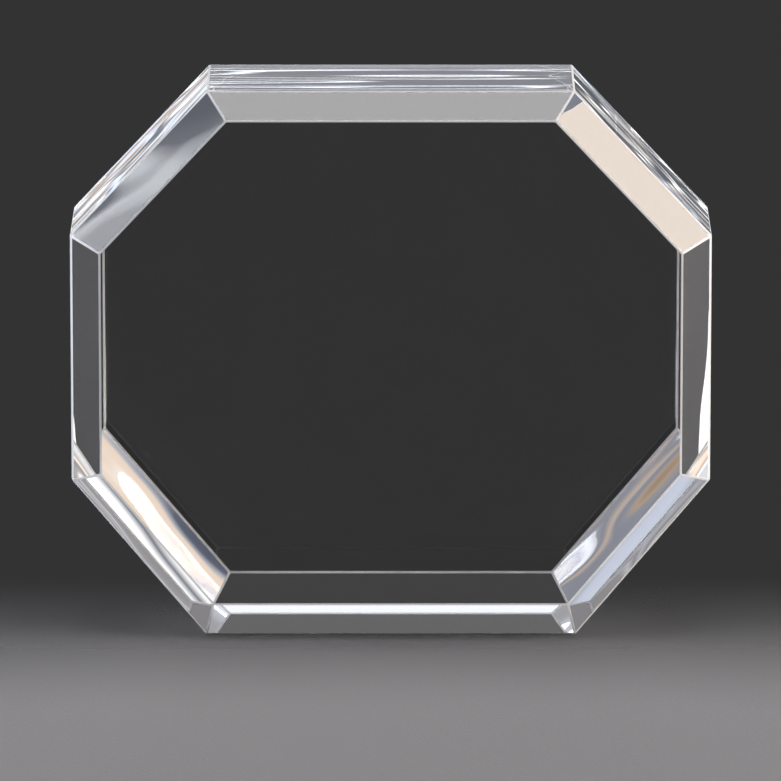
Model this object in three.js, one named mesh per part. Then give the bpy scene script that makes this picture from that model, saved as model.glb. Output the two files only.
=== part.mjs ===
// Octagonal photo crystal: a cut and polished glass block with a clear receiving layer on its back face.
// Millimetres, +Z up. The block stands on its lower edge face, with its viewing face towards -Y, and the
// origin lies under the middle of its box.

import * as THREE from 'three';
import { ConvexGeometry } from 'three/addons/geometries/ConvexGeometry.js';
import { mergeVertices } from 'three/addons/utils/BufferGeometryUtils.js';

// Outline of the block, across its widest section
const blockWidth = 100;
const blockHeight = 87.1;
const blockThickness = 28.4;
const upperCornerCutWidth = 21.5;
const upperCornerCutHeight = 22.9;
const lowerCornerCutWidth = 21;
const lowerCornerCutHeight = 25;

// Ring of eight bevels round the viewing face: widths are across the face, the depth is into the thickness
const frontLowerBevelWidth = 6;
const frontSideBevelWidth = 4.7;
const frontUpperBevelWidth = 3.9;
const frontCornerBevelWidth = 4.8;
const frontBevelDepth = 4.2;

// Ring of eight bevels round the back face, wider along the lower edge and across the four corners
const backLowerBevelWidth = 6.6;
const backBevelWidth = 4.8;
const backCornerBevelWidth = 6.9;
const backBevelDepth = 2.6;

// Polished arrises: how far each edge is taken back on both of its faces
const arrisSetback = 0.2;

// Clear receiving layer on the back face
const coatingThickness = 0.1;
const coatingMargin = 0.4;

const overallDepth = blockThickness + coatingThickness;
const viewingFaceY = -overallDepth / 2;
const backFaceY = viewingFaceY + blockThickness;

// Corners of the octagon, anticlockwise as seen from the front, from the left end of the lower edge.
function outlineAt(y) {
  const side = blockWidth / 2;
  const lowerEnd = side - lowerCornerCutWidth;
  const upperEnd = side - upperCornerCutWidth;
  const shoulder = blockHeight - upperCornerCutHeight;
  return [
    new THREE.Vector3(-lowerEnd, y, 0),
    new THREE.Vector3(lowerEnd, y, 0),
    new THREE.Vector3(side, y, lowerCornerCutHeight),
    new THREE.Vector3(side, y, shoulder),
    new THREE.Vector3(upperEnd, y, blockHeight),
    new THREE.Vector3(-upperEnd, y, blockHeight),
    new THREE.Vector3(-side, y, shoulder),
    new THREE.Vector3(-side, y, lowerCornerCutHeight),
  ];
}

// Widths for the octagon's eight sides, each side named by the corner that it starts from.
function octagonSides(lower, side, upper, corner) {
  return [lower, corner, side, corner, upper, corner, side, corner];
}

// Moves the sides of a flat polygon inwards, each by its own setback.
function insetPolygon(corners, setbacks) {
  return corners.map((corner, i) => {
    const before = corners.at(i - 1).clone().sub(corner).normalize();
    const after = corners[(i + 1) % corners.length].clone().sub(corner).normalize();
    const sine = before.clone().cross(after).length();
    return corner.clone()
      .addScaledVector(before, setbacks[i] / sine)
      .addScaledVector(after, setbacks.at(i - 1) / sine);
  });
}

function insetEvenly(corners, setback) {
  return insetPolygon(corners, corners.map(() => setback));
}

function movedToDepth(corners, y) {
  return corners.map((corner) => new THREE.Vector3(corner.x, y, corner.z));
}

// The four-sided faces that join one ring of corners to the next.
function facesBetween(ringA, ringB) {
  return ringA.map((corner, i) => {
    const next = (i + 1) % ringA.length;
    return [corner, ringA[next], ringB[next], ringB[i]];
  });
}

function closedHull(points) {
  const hull = new ConvexGeometry(points);
  hull.deleteAttribute('normal');
  const merged = mergeVertices(hull);
  merged.computeVertexNormals();
  return merged;
}

function glassMaterial(color, roughness) {
  return new THREE.MeshStandardMaterial({ color, roughness, metalness: 0, transparent: true, opacity: 0.35 });
}

const frontBevelWidths = octagonSides(
  frontLowerBevelWidth,
  frontSideBevelWidth,
  frontUpperBevelWidth,
  frontCornerBevelWidth,
);
const backBevelWidths = octagonSides(
  backLowerBevelWidth,
  backBevelWidth,
  backBevelWidth,
  backCornerBevelWidth,
);

// Rings of corners from the viewing face to the back face
const frontOutline = outlineAt(viewingFaceY + frontBevelDepth);
const backOutline = outlineAt(backFaceY - backBevelDepth);
const viewingFace = movedToDepth(insetPolygon(frontOutline, frontBevelWidths), viewingFaceY);
const backFace = movedToDepth(insetPolygon(backOutline, backBevelWidths), backFaceY);

// Every face is drawn in by the arris, so the hull bridges each edge and corner with a narrow polished land.
const polishedFaces = [
  viewingFace,
  ...facesBetween(viewingFace, frontOutline),
  ...facesBetween(frontOutline, backOutline),
  ...facesBetween(backOutline, backFace),
  backFace,
];
const facePoints = polishedFaces.flatMap((face) => insetEvenly(face, arrisSetback));

const crystalBlock = new THREE.Mesh(closedHull(facePoints), glassMaterial(0xe9eef0, 0.02));
crystalBlock.name = 'crystal_block';

const coatingOutline = insetEvenly(backFace, arrisSetback + coatingMargin);
const coatingOuterFace = movedToDepth(coatingOutline, backFaceY + coatingThickness);
const coatingPoints = [...coatingOutline, ...coatingOuterFace];
const imageCoating = new THREE.Mesh(closedHull(coatingPoints), glassMaterial(0xf2f5f5, 0.08));
imageCoating.name = 'image_coating';

const photoCrystal = new THREE.Group();
photoCrystal.add(crystalBlock, imageCoating);

export default photoCrystal;
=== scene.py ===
"""Octagonal photo crystal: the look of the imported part, on a plain stage.

The file is laid out as an add-on and run as a script. Lengths are metres, +Z is up, and the block's viewing
face looks towards -Y, where the camera stands.
"""

import math

import bpy
from bpy.props import FloatProperty, FloatVectorProperty, PointerProperty
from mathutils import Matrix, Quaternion, Vector


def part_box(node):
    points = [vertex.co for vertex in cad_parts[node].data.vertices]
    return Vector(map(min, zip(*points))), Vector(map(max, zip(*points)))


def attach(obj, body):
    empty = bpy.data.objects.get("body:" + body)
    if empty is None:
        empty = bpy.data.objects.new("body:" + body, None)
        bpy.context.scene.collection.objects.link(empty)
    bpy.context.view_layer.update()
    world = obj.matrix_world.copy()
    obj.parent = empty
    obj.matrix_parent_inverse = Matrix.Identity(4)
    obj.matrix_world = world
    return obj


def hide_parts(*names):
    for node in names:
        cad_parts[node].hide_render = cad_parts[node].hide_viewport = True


bl_info = {
    "name": "Octagonal photo crystal",
    "version": (1, 0, 0),
    "blender": (4, 5, 0),
    "location": "3D View > Sidebar > Crystal",
    "description": "Dresses a cut glass photo block and sets it on a plain stage",
    "category": "Object",
}

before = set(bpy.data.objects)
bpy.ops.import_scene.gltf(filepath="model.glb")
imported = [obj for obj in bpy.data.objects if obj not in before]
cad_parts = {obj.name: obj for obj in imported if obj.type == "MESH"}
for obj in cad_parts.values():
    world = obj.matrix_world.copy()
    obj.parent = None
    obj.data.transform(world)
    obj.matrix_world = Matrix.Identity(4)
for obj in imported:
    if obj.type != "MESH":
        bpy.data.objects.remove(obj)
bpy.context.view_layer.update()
BLOCK_LOW, BLOCK_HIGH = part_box("crystal_block")
BLOCK_SPAN = BLOCK_HIGH - BLOCK_LOW
COATING_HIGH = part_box("image_coating")[1]

MM = 0.001
OCTAGON = 8

# The photograph's frame and viewpoint
IMAGE_WIDTH_PX = 781
SENSOR_WIDTH_MM = 36
FOCAL_LENGTH_PX = 9627
CAMERA_ELEVATION = math.radians(13)
CAMERA_DISTANCE = 1515 * MM
CAMERA_AIM = Vector((-0.05 * MM, 0, 37.1 * MM))

# Cut edges: how close to one plane the parts of a facet lie, and an arris's steps and its material's number
FLAT_ANGLE = math.radians(0.5)
ARRIS_STEPS = 3
ARRIS_SLOT = 1

# The glass, and the lengths and the height of its polishing wave
GLASS_IOR = 1.517
WAVE_LENGTH_ACROSS = 125 * MM
WAVE_LENGTH_UP = 22 * MM
WAVE_HEIGHT = 0.45 * MM

# A facet is known by the lean of its normal: less than this to the sides is level, and more than this to
# the front or back is a bevel
LEVEL_LEAN = 0.1
BEVEL_LEAN = 0.3

# Each kind of facet: the lean to the front or back that it starts from, its share of the wave's height, its
# waves in a millimetre of depth, and its share of the back bevels' own polishing pass
FACET_WAVES = (
    (0.0, 0.45, 0.1, 0.0),  # edge faces
    (BEVEL_LEAN, 0.1, 0.08, 0.0),  # front bevels
    (0.85, 1.0, 0.45, 1.0),  # back bevels
    (0.98, 0.0, 0.1, 0.0),  # flat faces
)
OWN_PASS_SHIFT = 0.33

# Sizes of the fine patterns. The grit and the card's tooth are drawn coarser than real ones, so as to show.
GRIT_SIZE = 0.4 * MM
CLOUD_SIZE = 9 * MM
TOOTH_SIZE = 0.7 * MM
TOOTH_HEIGHT = 0.1 * MM

# The floor, which fades out behind the block
FLOOR_HALF_WIDTH = 1.5
FLOOR_FULL_Y = -60 * MM
FLOOR_GONE_Y = 30 * MM

# The backdrop's soft borders, and how much lighter it grows to the sides
CARD_BORDER = math.radians(1)
FOOT_BORDER = math.radians(0.01)
SIDES_START = math.radians(17)
SIDES_END = math.radians(22)
SIDES_LEVEL = 2.0

# From the block's middle to each soft box
LAMP_DISTANCE = 3.0

# Plain soft boxes: name, azimuth and elevation of the middle, width, height and roll in degrees, then
# brightness and sRGB tint
SOFT_BOXES = (
    ("overhead", 178, 83, 24, 24, 0, 8.1, "FFFDFF"),
    ("warm_side", 107.2, 22.1, 22, 22, 0, 17, "FFF0E2"),
    ("warm_side_top", 107.2, 38.6, 22, 11, 0, 5, "DCE6FF"),
    ("back_wall", 0, 13.75, 80, 8.5, 0, 0.2, "FFFBFF"),
    ("back_glow", 0, -1.4, 12, 6, 0, 0.012, "FFFFFF"),
    ("left_glow", -23, -12.8, 8, 12, 0, 0.035, "FFFBFF"),
    ("right_rim", 80, 8, 30, 14, 0, 24, "FFF8F0"),
    ("left_rim", -80, 8, 30, 14, 0, 24, "F4F7FF"),
    ("right_slip", 21.825, -13.5, 2, 7, -13, 1.2, "FFFBF6"),
    ("left_slip", -21.83, -13.4, 2, 7, 12, 1.2, "FFFFFF"),
)

# Graded soft boxes: the same, with bands across the width in place of one brightness and tint. A band has
# its degrees from the first edge, its brightness and its tint. The bands were set one by one, to suit what
# each facet mirrors or bends into view.
GRADED_BOXES = (
    ("cool_side", -107.2, 32.55, 24, 24, -25, (
        (0.0, 2.0, "D8E2FF"),
        (11.8, 2.2, "D8E2FF"),
        (12.0, 3.2, "E6EEFF"),
        (12.1, 13.0, "F4F8FF"),
        (12.28, 7.6, "F2F5FF"),
        (24.0, 8.4, "F2F5FF"),
    )),
    ("back_strip", 0, 13.7, 20.6, 28, 90, (
        (0.0, 1.15, "F4F7FF"),
        (6.6, 1.1, "F4F7FF"),
        (7.2, 0.6, "E8EEFF"),
        (7.9, 0.48, "E8EEFF"),
        (8.05, 3.0, "FFFFFF"),
        (8.2, 0.44, "E8EEFF"),
        (8.95, 0.52, "E8EEFF"),
        (9.1, 4.0, "F2F6FF"),
        (9.25, 0.48, "E8EEFF"),
        (10.2, 0.56, "E8EEFF"),
        (10.35, 3.5, "FFFFFF"),
        (10.5, 0.44, "E8EEFF"),
        (12.0, 0.2, "F4F7FF"),
        (14.5, 0.11, "FFFFFF"),
        (20.6, 0.11, "FFFFFF"),
    )),
    ("right_far", 36, -7, 20, 14, 0, (
        (0.0, 0.6, "FFFAF4"),
        (10.2, 0.6, "FFFAF4"),
        (10.7, 1.5, "FFFFFF"),
        (11.0, 0.5, "FFF3E8"),
        (11.5, 0.3, "DCE8FF"),
        (11.9, 1.3, "FFE9D4"),
        (12.3, 0.5, "FFFAF4"),
        (13.0, 0.9, "FFFFFF"),
        (20.0, 0.6, "FFFAF4"),
    )),
    ("left_far", -36, -7, 21, 14, 0, (
        (0.0, 0.8, "F8FAFF"),
        (7.6, 0.8, "F8FAFF"),
        (8.1, 1.6, "FFFFFF"),
        (8.5, 0.5, "FFE9D4"),
        (8.9, 1.2, "FFE9D4"),
        (9.3, 0.4, "DCE8FF"),
        (9.8, 1.5, "F4F7FF"),
        (10.4, 0.6, "F8FAFF"),
        (21.0, 0.8, "F8FAFF"),
    )),
    ("right_wall", 30.2, 11.2, 9, 9, 142, (
        (0.0, 0.0, "FFFFFF"),
        (2.8, 0.1, "FFFFFF"),
        (3.3, 0.45, "FFFFFF"),
        (3.7, 0.1, "E6ECFF"),
        (4.3, 0.4, "F4F7FF"),
        (4.7, 0.05, "FFFFFF"),
        (5.5, 0.35, "FFF3E8"),
        (6.2, 0.1, "FFFFFF"),
        (9.0, 0.0, "FFFFFF"),
    )),
    ("left_wall", -30.2, 11.2, 9, 9, 38, (
        (0.0, 0.0, "FFFFFF"),
        (3.0, 0.05, "FFFFFF"),
        (3.6, 0.3, "FFFFFF"),
        (4.0, 0.0, "E6ECFF"),
        (4.6, 0.25, "E6ECFF"),
        (5.0, 0.0, "FFFFFF"),
        (5.6, 0.3, "F4F7FF"),
        (6.2, 0.05, "FFFFFF"),
        (9.0, 0.0, "FFFFFF"),
    )),
    ("right_panel", 12.32, -2.52, 19.2, 10, 142, (
        (0.0, 0.05, "B4C6F0"),
        (0.9, 0.14, "C8D8FF"),
        (1.3, 0.5, "EEF2FF"),
        (1.6, 0.85, "FFE9D4"),
        (2.3, 0.9, "FFE9D4"),
        (2.7, 1.0, "FFFAF4"),
        (3.1, 0.75, "FFF3E8"),
        (3.5, 0.5, "E2EAFF"),
        (4.0, 1.0, "FFFFFF"),
        (4.6, 0.8, "FFF6EE"),
        (7.3, 0.5, "F4F7FF"),
        (8.0, 0.3, "E2ECFF"),
        (8.5, 0.2, "E2ECFF"),
        (8.7, 2.6, "E2ECFF"),
        (8.95, 0.25, "E2ECFF"),
        (9.5, 0.2, "E2ECFF"),
        (9.7, 3.0, "FFFFFF"),
        (9.9, 0.25, "E2ECFF"),
        (10.4, 0.2, "E2ECFF"),
        (10.6, 2.2, "FFF3E8"),
        (10.9, 0.25, "E2ECFF"),
        (12.0, 0.6, "FFFFFF"),
        (16.8, 1.3, "FFFFFF"),
        (16.84, 0.2, "E2ECFF"),
        (16.87, 1.3, "FFFFFF"),
        (16.92, 1.4, "FFFFFF"),
        (16.95, 0.2, "E2ECFF"),
        (16.98, 1.3, "FFFFFF"),
        (17.02, 1.2, "FFFFFF"),
        (17.05, 0.3, "E2ECFF"),
        (17.1, 1.2, "FFFFFF"),
        (19.2, 1.2, "FFFDFA"),
    )),
    ("left_panel", -12.17, -2.65, 19.6, 10, 38, (
        (0.0, 0.26, "F0D2AE"),
        (0.9, 0.42, "FFE0C0"),
        (1.5, 0.3, "E6ECFF"),
        (2.0, 0.27, "E6ECFF"),
        (2.4, 0.5, "FFE9D6"),
        (2.8, 0.27, "E6ECFF"),
        (3.1, 0.35, "EEF2FF"),
        (3.5, 0.85, "F4F7FF"),
        (3.9, 0.5, "E6ECFF"),
        (4.4, 0.9, "FFFFFF"),
        (5.0, 0.6, "E6ECFF"),
        (8.3, 0.9, "FFFFFF"),
        (8.8, 2.4, "FFE6CE"),
        (9.1, 0.8, "FFF3E8"),
        (9.4, 0.5, "DCE8FF"),
        (9.7, 3.0, "FFFFFF"),
        (10.0, 1.2, "FFF3E8"),
        (10.3, 0.3, "DCE8FF"),
        (10.7, 2.6, "DCE8FF"),
        (11.1, 1.0, "FFE6CE"),
        (11.7, 0.6, "EEF2FF"),
        (16.9, 0.8, "F4F7FF"),
        (17.05, 1.4, "FFFFFF"),
        (17.2, 0.5, "DCE8FF"),
        (17.35, 0.9, "E6EEFF"),
        (17.45, 0.3, "DCE8FF"),
        (17.6, 1.2, "FFFFFF"),
        (19.6, 0.8, "EEF2FF"),
    )),
)


def linear(hex_colour):
    """Linear colour of an sRGB hex value such as "E8E4DC"."""
    channels = [int(hex_colour[i:i + 2], 16) / 255 for i in (0, 2, 4)]
    return [c / 12.92 if c <= 0.04045 else ((c + 0.055) / 1.055) ** 2.4 for c in channels]


def add_node(tree, kind, inputs=None, **settings):
    """Adds a node with its settings, and gives each named or numbered input a value or a link."""
    node = tree.nodes.new(kind)
    for name, value in settings.items():
        setattr(node, name, value)
    for key, value in (inputs or {}).items():
        if isinstance(value, bpy.types.NodeSocket):
            tree.links.new(value, node.inputs[key])
        else:
            node.inputs[key].default_value = value
    return node


def length(name, description, default):
    """A length in metres that the sidebar can change."""
    return FloatProperty(name=name, description=description, default=default, precision=5,
                         subtype="DISTANCE", unit="LENGTH")


def angle(name, description, degrees):
    """An angle that the sidebar can change, given in degrees."""
    return FloatProperty(name=name, description=description, default=math.radians(degrees),
                         subtype="ANGLE", unit="ROTATION")


def colour(name, description, hex_colour):
    """A colour that the sidebar can change, given as an sRGB hex value."""
    return FloatVectorProperty(name=name, description=description, default=linear(hex_colour),
                               subtype="COLOR", size=3, min=0, max=1)


def share(name, description, default):
    """A share from 0 to 1 that the sidebar can change."""
    return FloatProperty(name=name, description=description, default=default, min=0, max=1,
                         subtype="FACTOR")


class CrystalSizes(bpy.types.PropertyGroup):
    """Sizes of the glass block and of the layer on its back"""

    width: length("Width", "Across the widest section", BLOCK_SPAN.x)
    height: length("Height", "From the lower edge face to the upper one", BLOCK_SPAN.z)
    front_face: length("Viewing face", "Place of the viewing face along Y", BLOCK_LOW.y)
    back_face: length("Back face", "Place of the back face along Y", BLOCK_HIGH.y)
    upper_cut_width: length("Upper cut width", "Width taken off at each upper corner", 21.5 * MM)
    upper_cut_height: length("Upper cut height", "Height taken off at each upper corner", 22.9 * MM)
    lower_cut_width: length("Lower cut width", "Width taken off at each lower corner", 21 * MM)
    lower_cut_height: length("Lower cut height", "Height taken off at each lower corner", 25 * MM)
    front_lower_bevel: length("Front lower bevel", "Width across the viewing face", 6 * MM)
    front_side_bevel: length("Front side bevels", "Width across the viewing face", 4.7 * MM)
    front_upper_bevel: length("Front upper bevel", "Width across the viewing face", 3.9 * MM)
    front_corner_bevel: length("Front corner bevels", "Width across the viewing face", 4.8 * MM)
    front_bevel_depth: length("Front bevel depth", "Depth into the thickness", 4.2 * MM)
    back_lower_bevel: length("Back lower bevel", "Width across the back face", 6.6 * MM)
    back_bevel: length("Back side and upper bevels", "Width across the back face", 4.8 * MM)
    back_corner_bevel: length("Back corner bevels", "Width across the back face", 6.9 * MM)
    back_bevel_depth: length("Back bevel depth", "Depth into the thickness", 2.6 * MM)
    arris: length("Arris", "How far each edge is taken back on both of its faces", 0.2 * MM)
    front_arris: length("Front arris", "The same for the front outline, from the shoulders down", 0.5 * MM)
    coating_margin: length("Coating margin", "From the back face's arris to the layer", 0.4 * MM)
    coating_gap: length("Coating gap", "Between the glass and the layer, so that no faces meet", 0.02 * MM)
    coating_face: length("Coating face", "Place of the layer's outer face along Y", COATING_HIGH.y)


class CrystalFinish(bpy.types.PropertyGroup):
    """Colours of the block and of its layer"""

    glass: colour("Optical glass", "Tint of the clear glass", "FEFDFE")
    arris: colour("Ground arris", "Tint of the fine-ground edges", "F6F8F9")
    lacquer: colour("Clear lacquer", "Tint of the layer on the back face", "DDE2E4")


class CrystalStage(bpy.types.PropertyGroup):
    """Floor, backdrop and lamps"""

    floor: colour("Floor", "Colour of the pale floor", "767677")
    backdrop: colour("Backdrop", "Colour of the dark backdrop", "333334")
    card_half_width: angle("Card half width", "Half width of the dark card behind the block", 5)
    card_top: angle("Card top", "Upper edge of the dark card behind the block", -5.5)
    card_foot: angle("Card foot", "Lower edge of the dark card, where its paler foot begins", -13.935)
    card_level: share("Card level", "Brightness of the dark card beside the backdrop's", 0.4)
    foot_level: share("Foot level", "Brightness of the card's foot beside the backdrop's", 0.6)


def outline_mesh(name, sizes):
    """The octagon across the widest section, anticlockwise from the left end of the lower edge."""
    side = sizes.width / 2
    lower_end = side - sizes.lower_cut_width
    upper_end = side - sizes.upper_cut_width
    shoulder = sizes.height - sizes.upper_cut_height
    corners = [
        (-lower_end, 0),
        (lower_end, 0),
        (side, sizes.lower_cut_height),
        (side, shoulder),
        (upper_end, sizes.height),
        (-upper_end, sizes.height),
        (-side, shoulder),
        (-side, sizes.lower_cut_height),
    ]
    mesh = bpy.data.meshes.new(name)
    mesh.from_pydata([(x, 0, z) for x, z in corners], [], [range(OCTAGON)])
    return mesh


def new_tree(name, inputs):
    """A Geometry Nodes tree with an outline, named lengths, and one geometry as its result."""
    tree = bpy.data.node_groups.new(name, "GeometryNodeTree")
    tree.interface.new_socket("Outline", in_out="INPUT", socket_type="NodeSocketGeometry")
    for label in inputs:
        tree.interface.new_socket(label, in_out="INPUT", socket_type="NodeSocketFloat")
    tree.interface.new_socket("Geometry", in_out="OUTPUT", socket_type="NodeSocketGeometry")
    return tree


def inset_ring_tree():
    """Moves the octagon to a depth and draws its sides in, each by the width that belongs to it."""
    tree = new_tree("Inset ring", ("Depth", "Lower", "Side", "Upper", "Corner"))
    ins = add_node(tree, "NodeGroupInput").outputs
    index = add_node(tree, "GeometryNodeInputIndex").outputs[0]
    position = add_node(tree, "GeometryNodeInputPosition").outputs[0]

    # Each side has the number of the corner that it starts from
    width_of = add_node(tree, "GeometryNodeIndexSwitch", {"Index": index}, data_type="FLOAT")
    side_names = ("Lower", "Corner", "Side", "Corner", "Upper", "Corner", "Side", "Corner")
    while len(width_of.index_switch_items) < OCTAGON:
        width_of.index_switch_items.new()
    for socket, side_name in enumerate(side_names, start=1):
        tree.links.new(ins[side_name], width_of.inputs[socket])
    width_after = width_of.outputs[0]

    neighbours = {}
    for side, steps in (("before", OCTAGON - 1), ("after", 1)):
        number = add_node(tree, "ShaderNodeMath", {0: index, 1: steps}, operation="ADD").outputs[0]
        number = add_node(tree, "ShaderNodeMath", {0: number, 1: OCTAGON}, operation="MODULO").outputs[0]
        corner = add_node(tree, "GeometryNodeSampleIndex",
                          {"Geometry": ins["Outline"], "Value": position, "Index": number},
                          data_type="FLOAT_VECTOR").outputs[0]
        along = add_node(tree, "ShaderNodeVectorMath", {0: corner, 1: position},
                         operation="SUBTRACT").outputs[0]
        along = add_node(tree, "ShaderNodeVectorMath", {0: along}, operation="NORMALIZE").outputs[0]
        neighbours[side] = (number, along)
    number_before, before = neighbours["before"]
    after = neighbours["after"][1]
    width_before = add_node(tree, "GeometryNodeSampleIndex",
                            {"Geometry": ins["Outline"], "Value": width_after, "Index": number_before},
                            data_type="FLOAT").outputs[0]

    # A corner moves along each of its sides far enough to draw the other one in by its width
    cross = add_node(tree, "ShaderNodeVectorMath", {0: before, 1: after},
                     operation="CROSS_PRODUCT").outputs[0]
    sine = add_node(tree, "ShaderNodeVectorMath", {0: cross}, operation="LENGTH").outputs["Value"]
    move = add_node(tree, "ShaderNodeCombineXYZ", {"Y": ins["Depth"]}).outputs[0]
    for along, width in ((before, width_after), (after, width_before)):
        run = add_node(tree, "ShaderNodeMath", {0: width, 1: sine}, operation="DIVIDE").outputs[0]
        run = add_node(tree, "ShaderNodeVectorMath", {0: along, "Scale": run}, operation="SCALE").outputs[0]
        move = add_node(tree, "ShaderNodeVectorMath", {0: move, 1: run}).outputs[0]
    ring = add_node(tree, "GeometryNodeSetPosition", {"Geometry": ins["Outline"], "Offset": move})
    add_node(tree, "NodeGroupOutput", {"Geometry": ring.outputs[0]})
    return tree


def hull_tree(name, inputs, rings, material):
    """Rings of the octagon, and the closed hull that spans them. A ring names an input for each size."""
    tree = new_tree(name, inputs)
    ins = add_node(tree, "NodeGroupInput").outputs
    ring_tree = bpy.data.node_groups.get("Inset ring") or inset_ring_tree()
    joined = add_node(tree, "GeometryNodeJoinGeometry")
    for ring in rings:
        made = add_node(tree, "GeometryNodeGroup", node_tree=ring_tree)
        tree.links.new(ins["Outline"], made.inputs["Outline"])
        for socket, source in ring.items():
            tree.links.new(ins[source], made.inputs[socket])
        tree.links.new(made.outputs[0], joined.inputs[0])
    hull = add_node(tree, "GeometryNodeConvexHull", {"Geometry": joined.outputs[0]})
    real = add_node(tree, "GeometryNodeRealizeInstances", {"Geometry": hull.outputs[0]})
    dressed = add_node(tree, "GeometryNodeSetMaterial", {"Geometry": real.outputs[0], "Material": material})
    add_node(tree, "NodeGroupOutput", {"Geometry": dressed.outputs[0]})
    return tree


def add_tree(piece, tree, values):
    """Puts a tree on a piece, with each input set by its socket's identifier."""
    modifier = piece.modifiers.new(tree.name, "NODES")
    modifier.node_group = tree
    for item in tree.interface.items_tree:
        if item.in_out == "INPUT" and item.name in values:
            modifier[item.identifier] = values[item.name]


def make_plain(piece):
    """Turns the result of a piece's modifiers into its own plain mesh."""
    graph = bpy.context.evaluated_depsgraph_get()
    mesh = bpy.data.meshes.new_from_object(piece.evaluated_get(graph), depsgraph=graph)
    if not mesh.polygons:
        raise RuntimeError(f"{piece.name} came out empty")

    # Empty material slots go, and the faces' numbers follow
    used = [material for material in mesh.materials if material]
    numbers = [used.index(mesh.materials[polygon.material_index]) for polygon in mesh.polygons]
    mesh.materials.clear()
    for material in used:
        mesh.materials.append(material)
    mesh.polygons.foreach_set("material_index", numbers)
    piece.modifiers.clear()
    piece.data = mesh


def new_piece(name, data):
    """Puts a mesh, a lamp or a camera in the scene."""
    piece = bpy.data.objects.new(name, data)
    bpy.context.scene.collection.objects.link(piece)
    return piece


def new_material(name):
    """A material with its output and a Principled shader, and the shader's tree."""
    material = bpy.data.materials.new(name)
    material.use_nodes = True
    tree = material.node_tree
    tree.nodes.clear()
    shader = add_node(tree, "ShaderNodeBsdfPrincipled")
    add_node(tree, "ShaderNodeOutputMaterial", {"Surface": shader.outputs[0]})
    return material, tree, shader


def set_stops(ramp, stops):
    """Gives a colour ramp its stops, each a position and a linear colour."""
    elements = ramp.color_ramp.elements
    while len(elements) < len(stops):
        elements.new(1.0)
    for element, (position, shade) in zip(elements, stops):
        element.position = position
        element.color = (*shade, 1)


def polished_optical_glass(finish):
    """Cut and lapped optical glass: clear, with a faint long wave that the polishing wheel leaves."""
    material, tree, shader = new_material("polished_optical_glass")
    normal = add_node(tree, "ShaderNodeNewGeometry").outputs["True Normal"]
    normal = add_node(tree, "ShaderNodeVectorMath", {0: normal}, operation="ABSOLUTE").outputs[0]
    lean = add_node(tree, "ShaderNodeSeparateXYZ", {"Vector": normal}).outputs
    kind = add_node(tree, "ShaderNodeValToRGB", {"Fac": lean["Y"]})
    kind.color_ramp.interpolation = "CONSTANT"
    set_stops(kind, [(start, wave) for start, *wave in FACET_WAVES])
    wave_of = add_node(tree, "ShaderNodeSeparateColor", {"Color": kind.outputs[0]}).outputs

    # The level bevels, above and below, come off the wheel flat
    level = add_node(tree, "ShaderNodeMath", {0: lean["X"], 1: LEVEL_LEAN},
                     operation="LESS_THAN").outputs[0]
    bevel = add_node(tree, "ShaderNodeMath", {0: lean["Y"], 1: BEVEL_LEAN},
                     operation="GREATER_THAN").outputs[0]
    flat = add_node(tree, "ShaderNodeMath", {0: level, 1: bevel}, operation="MULTIPLY").outputs[0]
    strength = add_node(tree, "ShaderNodeMath", {0: wave_of["Red"], 1: flat},
                        operation="SUBTRACT", use_clamp=True).outputs[0]

    deep = add_node(tree, "ShaderNodeMath", {0: wave_of["Green"], 1: 1 / MM}, operation="MULTIPLY").outputs[0]
    waves = add_node(tree, "ShaderNodeCombineXYZ",
                     {"X": 1 / WAVE_LENGTH_ACROSS, "Y": deep, "Z": 1 / WAVE_LENGTH_UP}).outputs[0]
    place = add_node(tree, "ShaderNodeTexCoord").outputs["Object"]
    pattern = add_node(tree, "ShaderNodeVectorMath", {0: place, 1: waves}, operation="MULTIPLY").outputs[0]

    # The back bevels had a pass of their own, so their wave is moved on, and turned over in the left half:
    # the turn is -1 there and 1 elsewhere
    own_pass = wave_of["Blue"]
    shift = add_node(tree, "ShaderNodeMath", {0: own_pass, 1: OWN_PASS_SHIFT},
                     operation="MULTIPLY").outputs[0]
    shift = add_node(tree, "ShaderNodeCombineXYZ", {"Y": shift}).outputs[0]
    pattern = add_node(tree, "ShaderNodeVectorMath", {0: pattern, 1: shift}).outputs[0]
    wave = add_node(tree, "ShaderNodeTexNoise", {"Vector": pattern, "Scale": 1.0, "Detail": 1.0}).outputs[0]
    across = add_node(tree, "ShaderNodeSeparateXYZ", {"Vector": place}).outputs["X"]
    left = add_node(tree, "ShaderNodeMath", {0: across, 1: 0.0}, operation="LESS_THAN").outputs[0]
    turn = add_node(tree, "ShaderNodeMath", {0: left, 1: own_pass}, operation="MULTIPLY").outputs[0]
    turn = add_node(tree, "ShaderNodeMath", {0: turn, 1: -2.0, 2: 1.0}, operation="MULTIPLY_ADD").outputs[0]
    wave = add_node(tree, "ShaderNodeMath", {0: wave, 1: turn}, operation="MULTIPLY").outputs[0]
    bump = add_node(tree, "ShaderNodeBump", {"Strength": strength, "Distance": WAVE_HEIGHT, "Height": wave})
    shader.inputs["Base Color"].default_value = (*finish.glass, 1)
    shader.inputs["Roughness"].default_value = 0.0
    shader.inputs["IOR"].default_value = GLASS_IOR
    shader.inputs["Transmission Weight"].default_value = 1.0
    tree.links.new(bump.outputs[0], shader.inputs["Normal"])
    return material


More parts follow.
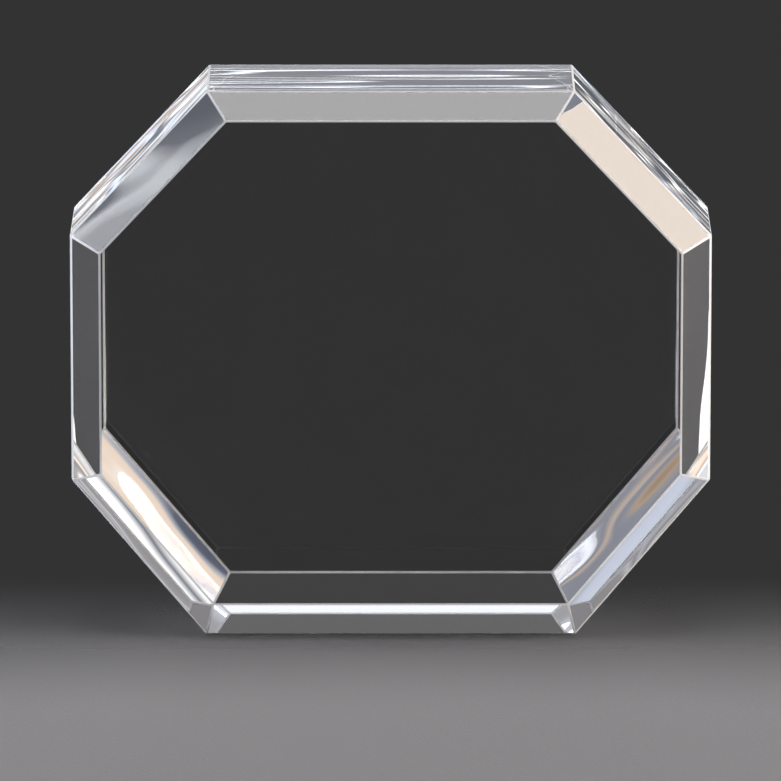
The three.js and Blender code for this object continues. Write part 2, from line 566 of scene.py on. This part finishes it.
def fine_ground_arris(finish):
    """Edges taken off with a fine diamond pad: they scatter light, so each edge shows as a pale hairline."""
    material, tree, shader = new_material("fine_ground_arris")
    place = add_node(tree, "ShaderNodeTexCoord").outputs["Object"]
    grit = add_node(tree, "ShaderNodeTexNoise", {"Vector": place, "Scale": 1 / GRIT_SIZE, "Detail": 2.0})
    rough = add_node(tree, "ShaderNodeMapRange", {"Value": grit.outputs[0], "To Min": 0.25, "To Max": 0.4})
    shader.inputs["Base Color"].default_value = (*finish.arris, 1)
    shader.inputs["IOR"].default_value = GLASS_IOR
    shader.inputs["Transmission Weight"].default_value = 0.4
    tree.links.new(rough.outputs[0], shader.inputs["Roughness"])
    return material


def clear_gloss_lacquer(finish):
    """Clear receiving lacquer: all but invisible, with a faint cloudiness where it was sprayed on."""
    material, tree, shader = new_material("clear_gloss_lacquer")
    place = add_node(tree, "ShaderNodeTexCoord").outputs["Object"]
    cloud = add_node(tree, "ShaderNodeTexNoise", {"Vector": place, "Scale": 1 / CLOUD_SIZE, "Detail": 3.0})
    body = add_node(tree, "ShaderNodeMapRange", {"Value": cloud.outputs[0], "To Min": 0.001, "To Max": 0.004})
    shader.inputs["Base Color"].default_value = (*finish.lacquer, 1)
    shader.inputs["Roughness"].default_value = 0.12
    shader.inputs["IOR"].default_value = 1.5
    tree.links.new(body.outputs[0], shader.inputs["Alpha"])
    return material


def weigh_edges(mesh, sizes):
    """Gives every edge its share of the widest arris, which the front outline has from the shoulders down."""
    outline_y = sizes.front_face + sizes.front_bevel_depth
    shoulder = sizes.height - sizes.upper_cut_height
    weights = mesh.attributes.new("bevel_weight_edge", "FLOAT", "EDGE")
    for edge in mesh.edges:
        ends = [mesh.vertices[number].co for number in edge.vertices]
        at_outline = all(abs(end.y - outline_y) < sizes.arris for end in ends)
        below_shoulders = all(end.z < shoulder + sizes.arris for end in ends)
        widest = at_outline and below_shoulders
        weights.data[edge.index].value = 1 if widest else sizes.arris / sizes.front_arris


class CRYSTAL_OT_block(bpy.types.Operator):
    """Makes the cut and polished glass block"""

    bl_idname = "crystal.block"
    bl_label = "Glass block"

    def execute(self, context):
        sizes = context.scene.crystal_sizes
        finish = context.scene.crystal_finish
        glass = polished_optical_glass(finish)
        values = {
            "Front Face": sizes.front_face,
            "Front Outline": sizes.front_face + sizes.front_bevel_depth,
            "Back Outline": sizes.back_face - sizes.back_bevel_depth,
            "Back Face": sizes.back_face,
            "Front Lower Bevel": sizes.front_lower_bevel,
            "Front Side Bevels": sizes.front_side_bevel,
            "Front Upper Bevel": sizes.front_upper_bevel,
            "Front Corner Bevels": sizes.front_corner_bevel,
            "Back Lower Bevel": sizes.back_lower_bevel,
            "Back Bevels": sizes.back_bevel,
            "Back Corner Bevels": sizes.back_corner_bevel,
        }
        rings = [
            {"Depth": "Front Face", "Lower": "Front Lower Bevel", "Side": "Front Side Bevels",
             "Upper": "Front Upper Bevel", "Corner": "Front Corner Bevels"},
            {"Depth": "Front Outline"},
            {"Depth": "Back Outline"},
            {"Depth": "Back Face", "Lower": "Back Lower Bevel", "Side": "Back Bevels", "Upper": "Back Bevels",
             "Corner": "Back Corner Bevels"},
        ]
        block = new_piece("cut_glass_block", outline_mesh("cut_glass_block", sizes))
        add_tree(block, hull_tree("Cut block", values, rings, glass), values)
        make_plain(block)
        block.data.materials.append(fine_ground_arris(finish))

        # The hull's triangles become whole facets, whose edges then get their arrises
        flat = block.modifiers.new("Merge flat faces", "DECIMATE")
        flat.decimate_type = "DISSOLVE"
        flat.angle_limit = FLAT_ANGLE
        make_plain(block)
        weigh_edges(block.data, sizes)
        arris = block.modifiers.new("Arris", "BEVEL")
        arris.width = sizes.front_arris
        arris.segments = ARRIS_STEPS
        arris.limit_method = "WEIGHT"
        arris.material = ARRIS_SLOT
        make_plain(block)
        for polygon in block.data.polygons:
            polygon.use_smooth = polygon.material_index == ARRIS_SLOT
        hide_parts("crystal_block")
        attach(block, "root")
        return {"FINISHED"}


class CRYSTAL_OT_coating(bpy.types.Operator):
    """Makes the clear layer on the back face"""

    bl_idname = "crystal.coating"
    bl_label = "Clear coating"

    def execute(self, context):
        sizes = context.scene.crystal_sizes
        lacquer = clear_gloss_lacquer(context.scene.crystal_finish)
        widths = {"Lower": "Lower Setback", "Side": "Setback", "Upper": "Setback", "Corner": "Corner Setback"}
        rings = [{"Depth": "Inner Face", **widths}, {"Depth": "Outer Face", **widths}]
        edge = sizes.arris + sizes.coating_margin
        values = {
            "Inner Face": sizes.back_face + sizes.coating_gap,
            "Outer Face": sizes.coating_face,
            "Lower Setback": sizes.back_lower_bevel + edge,
            "Setback": sizes.back_bevel + edge,
            "Corner Setback": sizes.back_corner_bevel + edge,
        }
        coating = new_piece("clear_image_coating", outline_mesh("clear_image_coating", sizes))
        add_tree(coating, hull_tree("Coating", values, rings, lacquer), values)
        make_plain(coating)
        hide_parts("image_coating")
        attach(coating, "root")
        return {"FINISHED"}


def direction(azimuth, elevation):
    """Unit vector by radians: round the block from behind it to the viewer's right, and up from the level."""
    level = math.cos(elevation)
    return Vector((math.sin(azimuth) * level, math.cos(azimuth) * level, math.sin(elevation)))


def add_soft_box(name, azimuth, elevation, width, height, roll, brightness, tint):
    """An area lamp that faces the block from far off, with its angles in degrees as the block sees them."""
    across = 2 * LAMP_DISTANCE * math.tan(math.radians(width / 2))
    upright = 2 * LAMP_DISTANCE * math.tan(math.radians(height / 2))
    lamp = bpy.data.lights.new(name, "AREA")
    lamp.shape = "RECTANGLE"
    lamp.size = across
    lamp.size_y = upright
    lamp.color = linear(tint)
    lamp.energy = brightness * math.pi * across * upright
    piece = new_piece(name, lamp)
    middle = Vector((0, 0, BLOCK_SPAN.z / 2))
    outwards = direction(math.radians(azimuth), math.radians(elevation))
    piece.location = middle + outwards * LAMP_DISTANCE
    facing = (-outwards).to_track_quat("-Z", "Y")
    piece.rotation_euler = (facing @ Quaternion((0, 0, 1), math.radians(roll))).to_euler()
    piece.visible_camera = False
    return lamp


def add_graded_box(name, azimuth, elevation, width, height, roll, bands):
    """A soft box whose cloth is lighter and darker in bands across its width."""
    peak = max(brightness for place, brightness, tint in bands)
    lamp = add_soft_box(name, azimuth, elevation, width, height, roll, peak, "FFFFFF")
    lamp.use_nodes = True
    tree = lamp.node_tree
    tree.nodes.clear()
    spot = add_node(tree, "ShaderNodeNewGeometry").outputs["Parametric"]
    across = add_node(tree, "ShaderNodeSeparateXYZ", {"Vector": spot}).outputs["X"]
    cloth = add_node(tree, "ShaderNodeValToRGB", {"Fac": across})
    stops = []
    for place, brightness, tint in bands:
        shade = [channel * brightness / peak for channel in linear(tint)]
        stops.append((place / width, shade))
    set_stops(cloth, stops)
    glow = add_node(tree, "ShaderNodeEmission", {"Color": cloth.outputs[0]})
    add_node(tree, "ShaderNodeOutputLight", {"Surface": glow.outputs[0]})


def pale_floor_card(stage):
    """Pale matt card with a fine tooth. It fades out behind the block, where the backdrop takes over."""
    material, tree, shader = new_material("pale_matt_card")
    place = add_node(tree, "ShaderNodeTexCoord").outputs["Object"]
    tooth = add_node(tree, "ShaderNodeTexNoise", {"Vector": place, "Scale": 1 / TOOTH_SIZE, "Detail": 3.0})
    bump = add_node(tree, "ShaderNodeBump",
                    {"Strength": 0.5, "Distance": TOOTH_HEIGHT, "Height": tooth.outputs[0]})
    depth = add_node(tree, "ShaderNodeSeparateXYZ", {"Vector": place}).outputs["Y"]
    shown = add_node(tree, "ShaderNodeMapRange",
                     {"Value": depth, "From Min": FLOOR_GONE_Y, "From Max": FLOOR_FULL_Y},
                     interpolation_type="SMOOTHSTEP")
    shader.inputs["Base Color"].default_value = (*stage.floor, 1)
    shader.inputs["Roughness"].default_value = 0.6
    tree.links.new(bump.outputs[0], shader.inputs["Normal"])
    tree.links.new(shown.outputs[0], shader.inputs["Alpha"])
    return material


def dark_field_world(stage):
    """A dark backdrop, lighter to the sides. Through the block, a darker card shows right behind it."""
    world = bpy.data.worlds.new("dark_field")
    world.use_nodes = True
    tree = world.node_tree
    tree.nodes.clear()
    way = add_node(tree, "ShaderNodeTexCoord").outputs["Generated"]
    axes = add_node(tree, "ShaderNodeSeparateXYZ", {"Vector": way}).outputs
    azimuth = add_node(tree, "ShaderNodeMath", {0: axes["X"], 1: axes["Y"]}, operation="ARCTAN2").outputs[0]
    elevation = add_node(tree, "ShaderNodeMath", {0: axes["Z"]}, operation="ARCSINE").outputs[0]
    aside = add_node(tree, "ShaderNodeMath", {0: azimuth}, operation="ABSOLUTE").outputs[0]

    # The card has soft borders. Its paler foot makes up for the floor's mirror image in the glass, which
    # stops there.
    card_side = stage.card_half_width
    card_top = stage.card_top
    card_foot = stage.card_foot
    beside = add_node(tree, "ShaderNodeMapRange",
                      {"Value": aside, "From Min": card_side, "From Max": card_side + CARD_BORDER},
                      interpolation_type="SMOOTHSTEP").outputs[0]
    above = add_node(tree, "ShaderNodeMapRange",
                     {"Value": elevation, "From Min": card_top, "From Max": card_top + CARD_BORDER},
                     interpolation_type="SMOOTHSTEP").outputs[0]
    past_card = add_node(tree, "ShaderNodeMath", {0: beside, 1: above}, operation="MAXIMUM").outputs[0]
    card = add_node(tree, "ShaderNodeMapRange",
                    {"Value": elevation, "From Min": card_foot, "From Max": card_foot - FOOT_BORDER,
                     "To Min": stage.card_level, "To Max": stage.foot_level}).outputs[0]
    level = add_node(tree, "ShaderNodeMath", {0: past_card, 1: card}, operation="MAXIMUM").outputs[0]

    # Beside the block the backdrop is seen as it is
    seen = add_node(tree, "ShaderNodeLightPath").outputs["Is Camera Ray"]
    level = add_node(tree, "ShaderNodeMath", {0: level, 1: seen}, operation="MAXIMUM").outputs[0]
    sides = add_node(tree, "ShaderNodeMapRange",
                     {"Value": aside, "From Min": SIDES_START, "From Max": SIDES_END,
                      "To Min": 1.0, "To Max": SIDES_LEVEL}, interpolation_type="SMOOTHSTEP").outputs[0]
    level = add_node(tree, "ShaderNodeMath", {0: level, 1: sides}, operation="MULTIPLY").outputs[0]
    backdrop = add_node(tree, "ShaderNodeBackground", {"Color": (*stage.backdrop, 1), "Strength": level})
    add_node(tree, "ShaderNodeOutputWorld", {"Surface": backdrop.outputs[0]})
    return world


class CRYSTAL_OT_stage(bpy.types.Operator):
    """Makes the floor, the backdrop, the lamps and the camera"""

    bl_idname = "crystal.stage"
    bl_label = "Stage"

    def execute(self, context):
        scene = context.scene
        stage = scene.crystal_stage
        scene.world = dark_field_world(stage)
        scene.view_settings.view_transform = "Standard"

        half = FLOOR_HALF_WIDTH
        corners = [(-half, -half, 0), (half, -half, 0), (half, half, 0), (-half, half, 0)]
        mesh = bpy.data.meshes.new("floor")
        mesh.from_pydata(corners, [], [range(len(corners))])
        mesh.materials.append(pale_floor_card(stage))
        new_piece("floor", mesh)

        for soft_box in SOFT_BOXES:
            add_soft_box(*soft_box)
        for graded_box in GRADED_BOXES:
            add_graded_box(*graded_box)

        camera = bpy.data.cameras.new("camera")
        camera.sensor_width = SENSOR_WIDTH_MM
        camera.lens = FOCAL_LENGTH_PX / IMAGE_WIDTH_PX * SENSOR_WIDTH_MM
        piece = new_piece("camera", camera)
        towards_camera = direction(math.pi, CAMERA_ELEVATION)
        piece.location = CAMERA_AIM + towards_camera * CAMERA_DISTANCE
        piece.rotation_euler = (-towards_camera).to_track_quat("-Z", "Y").to_euler()
        scene.camera = piece
        return {"FINISHED"}


class CRYSTAL_PT_sidebar(bpy.types.Panel):
    """Lists the sizes, the finish, the stage and the steps that make them"""

    bl_idname = "CRYSTAL_PT_sidebar"
    bl_label = "Octagonal photo crystal"
    bl_space_type = "VIEW_3D"
    bl_region_type = "UI"
    bl_category = "Crystal"

    def draw(self, context):
        scene = context.scene
        for group in (scene.crystal_sizes, scene.crystal_finish, scene.crystal_stage):
            column = self.layout.column(align=True)
            for name in group.__annotations__:
                column.prop(group, name)
        for operator in OPERATORS:
            self.layout.operator(operator.bl_idname)


OPERATORS = (CRYSTAL_OT_block, CRYSTAL_OT_coating, CRYSTAL_OT_stage)
GROUPS = {"crystal_sizes": CrystalSizes, "crystal_finish": CrystalFinish, "crystal_stage": CrystalStage}
CLASSES = (*GROUPS.values(), *OPERATORS, CRYSTAL_PT_sidebar)


def register():
    for made in CLASSES:
        bpy.utils.register_class(made)
    for name, group in GROUPS.items():
        setattr(bpy.types.Scene, name, PointerProperty(type=group))


def unregister():
    for name in GROUPS:
        delattr(bpy.types.Scene, name)
    for made in reversed(CLASSES):
        bpy.utils.unregister_class(made)


def main():
    register()
    bpy.ops.crystal.block()
    bpy.ops.crystal.coating()
    bpy.ops.crystal.stage()


if __name__ == "__main__":
    main()
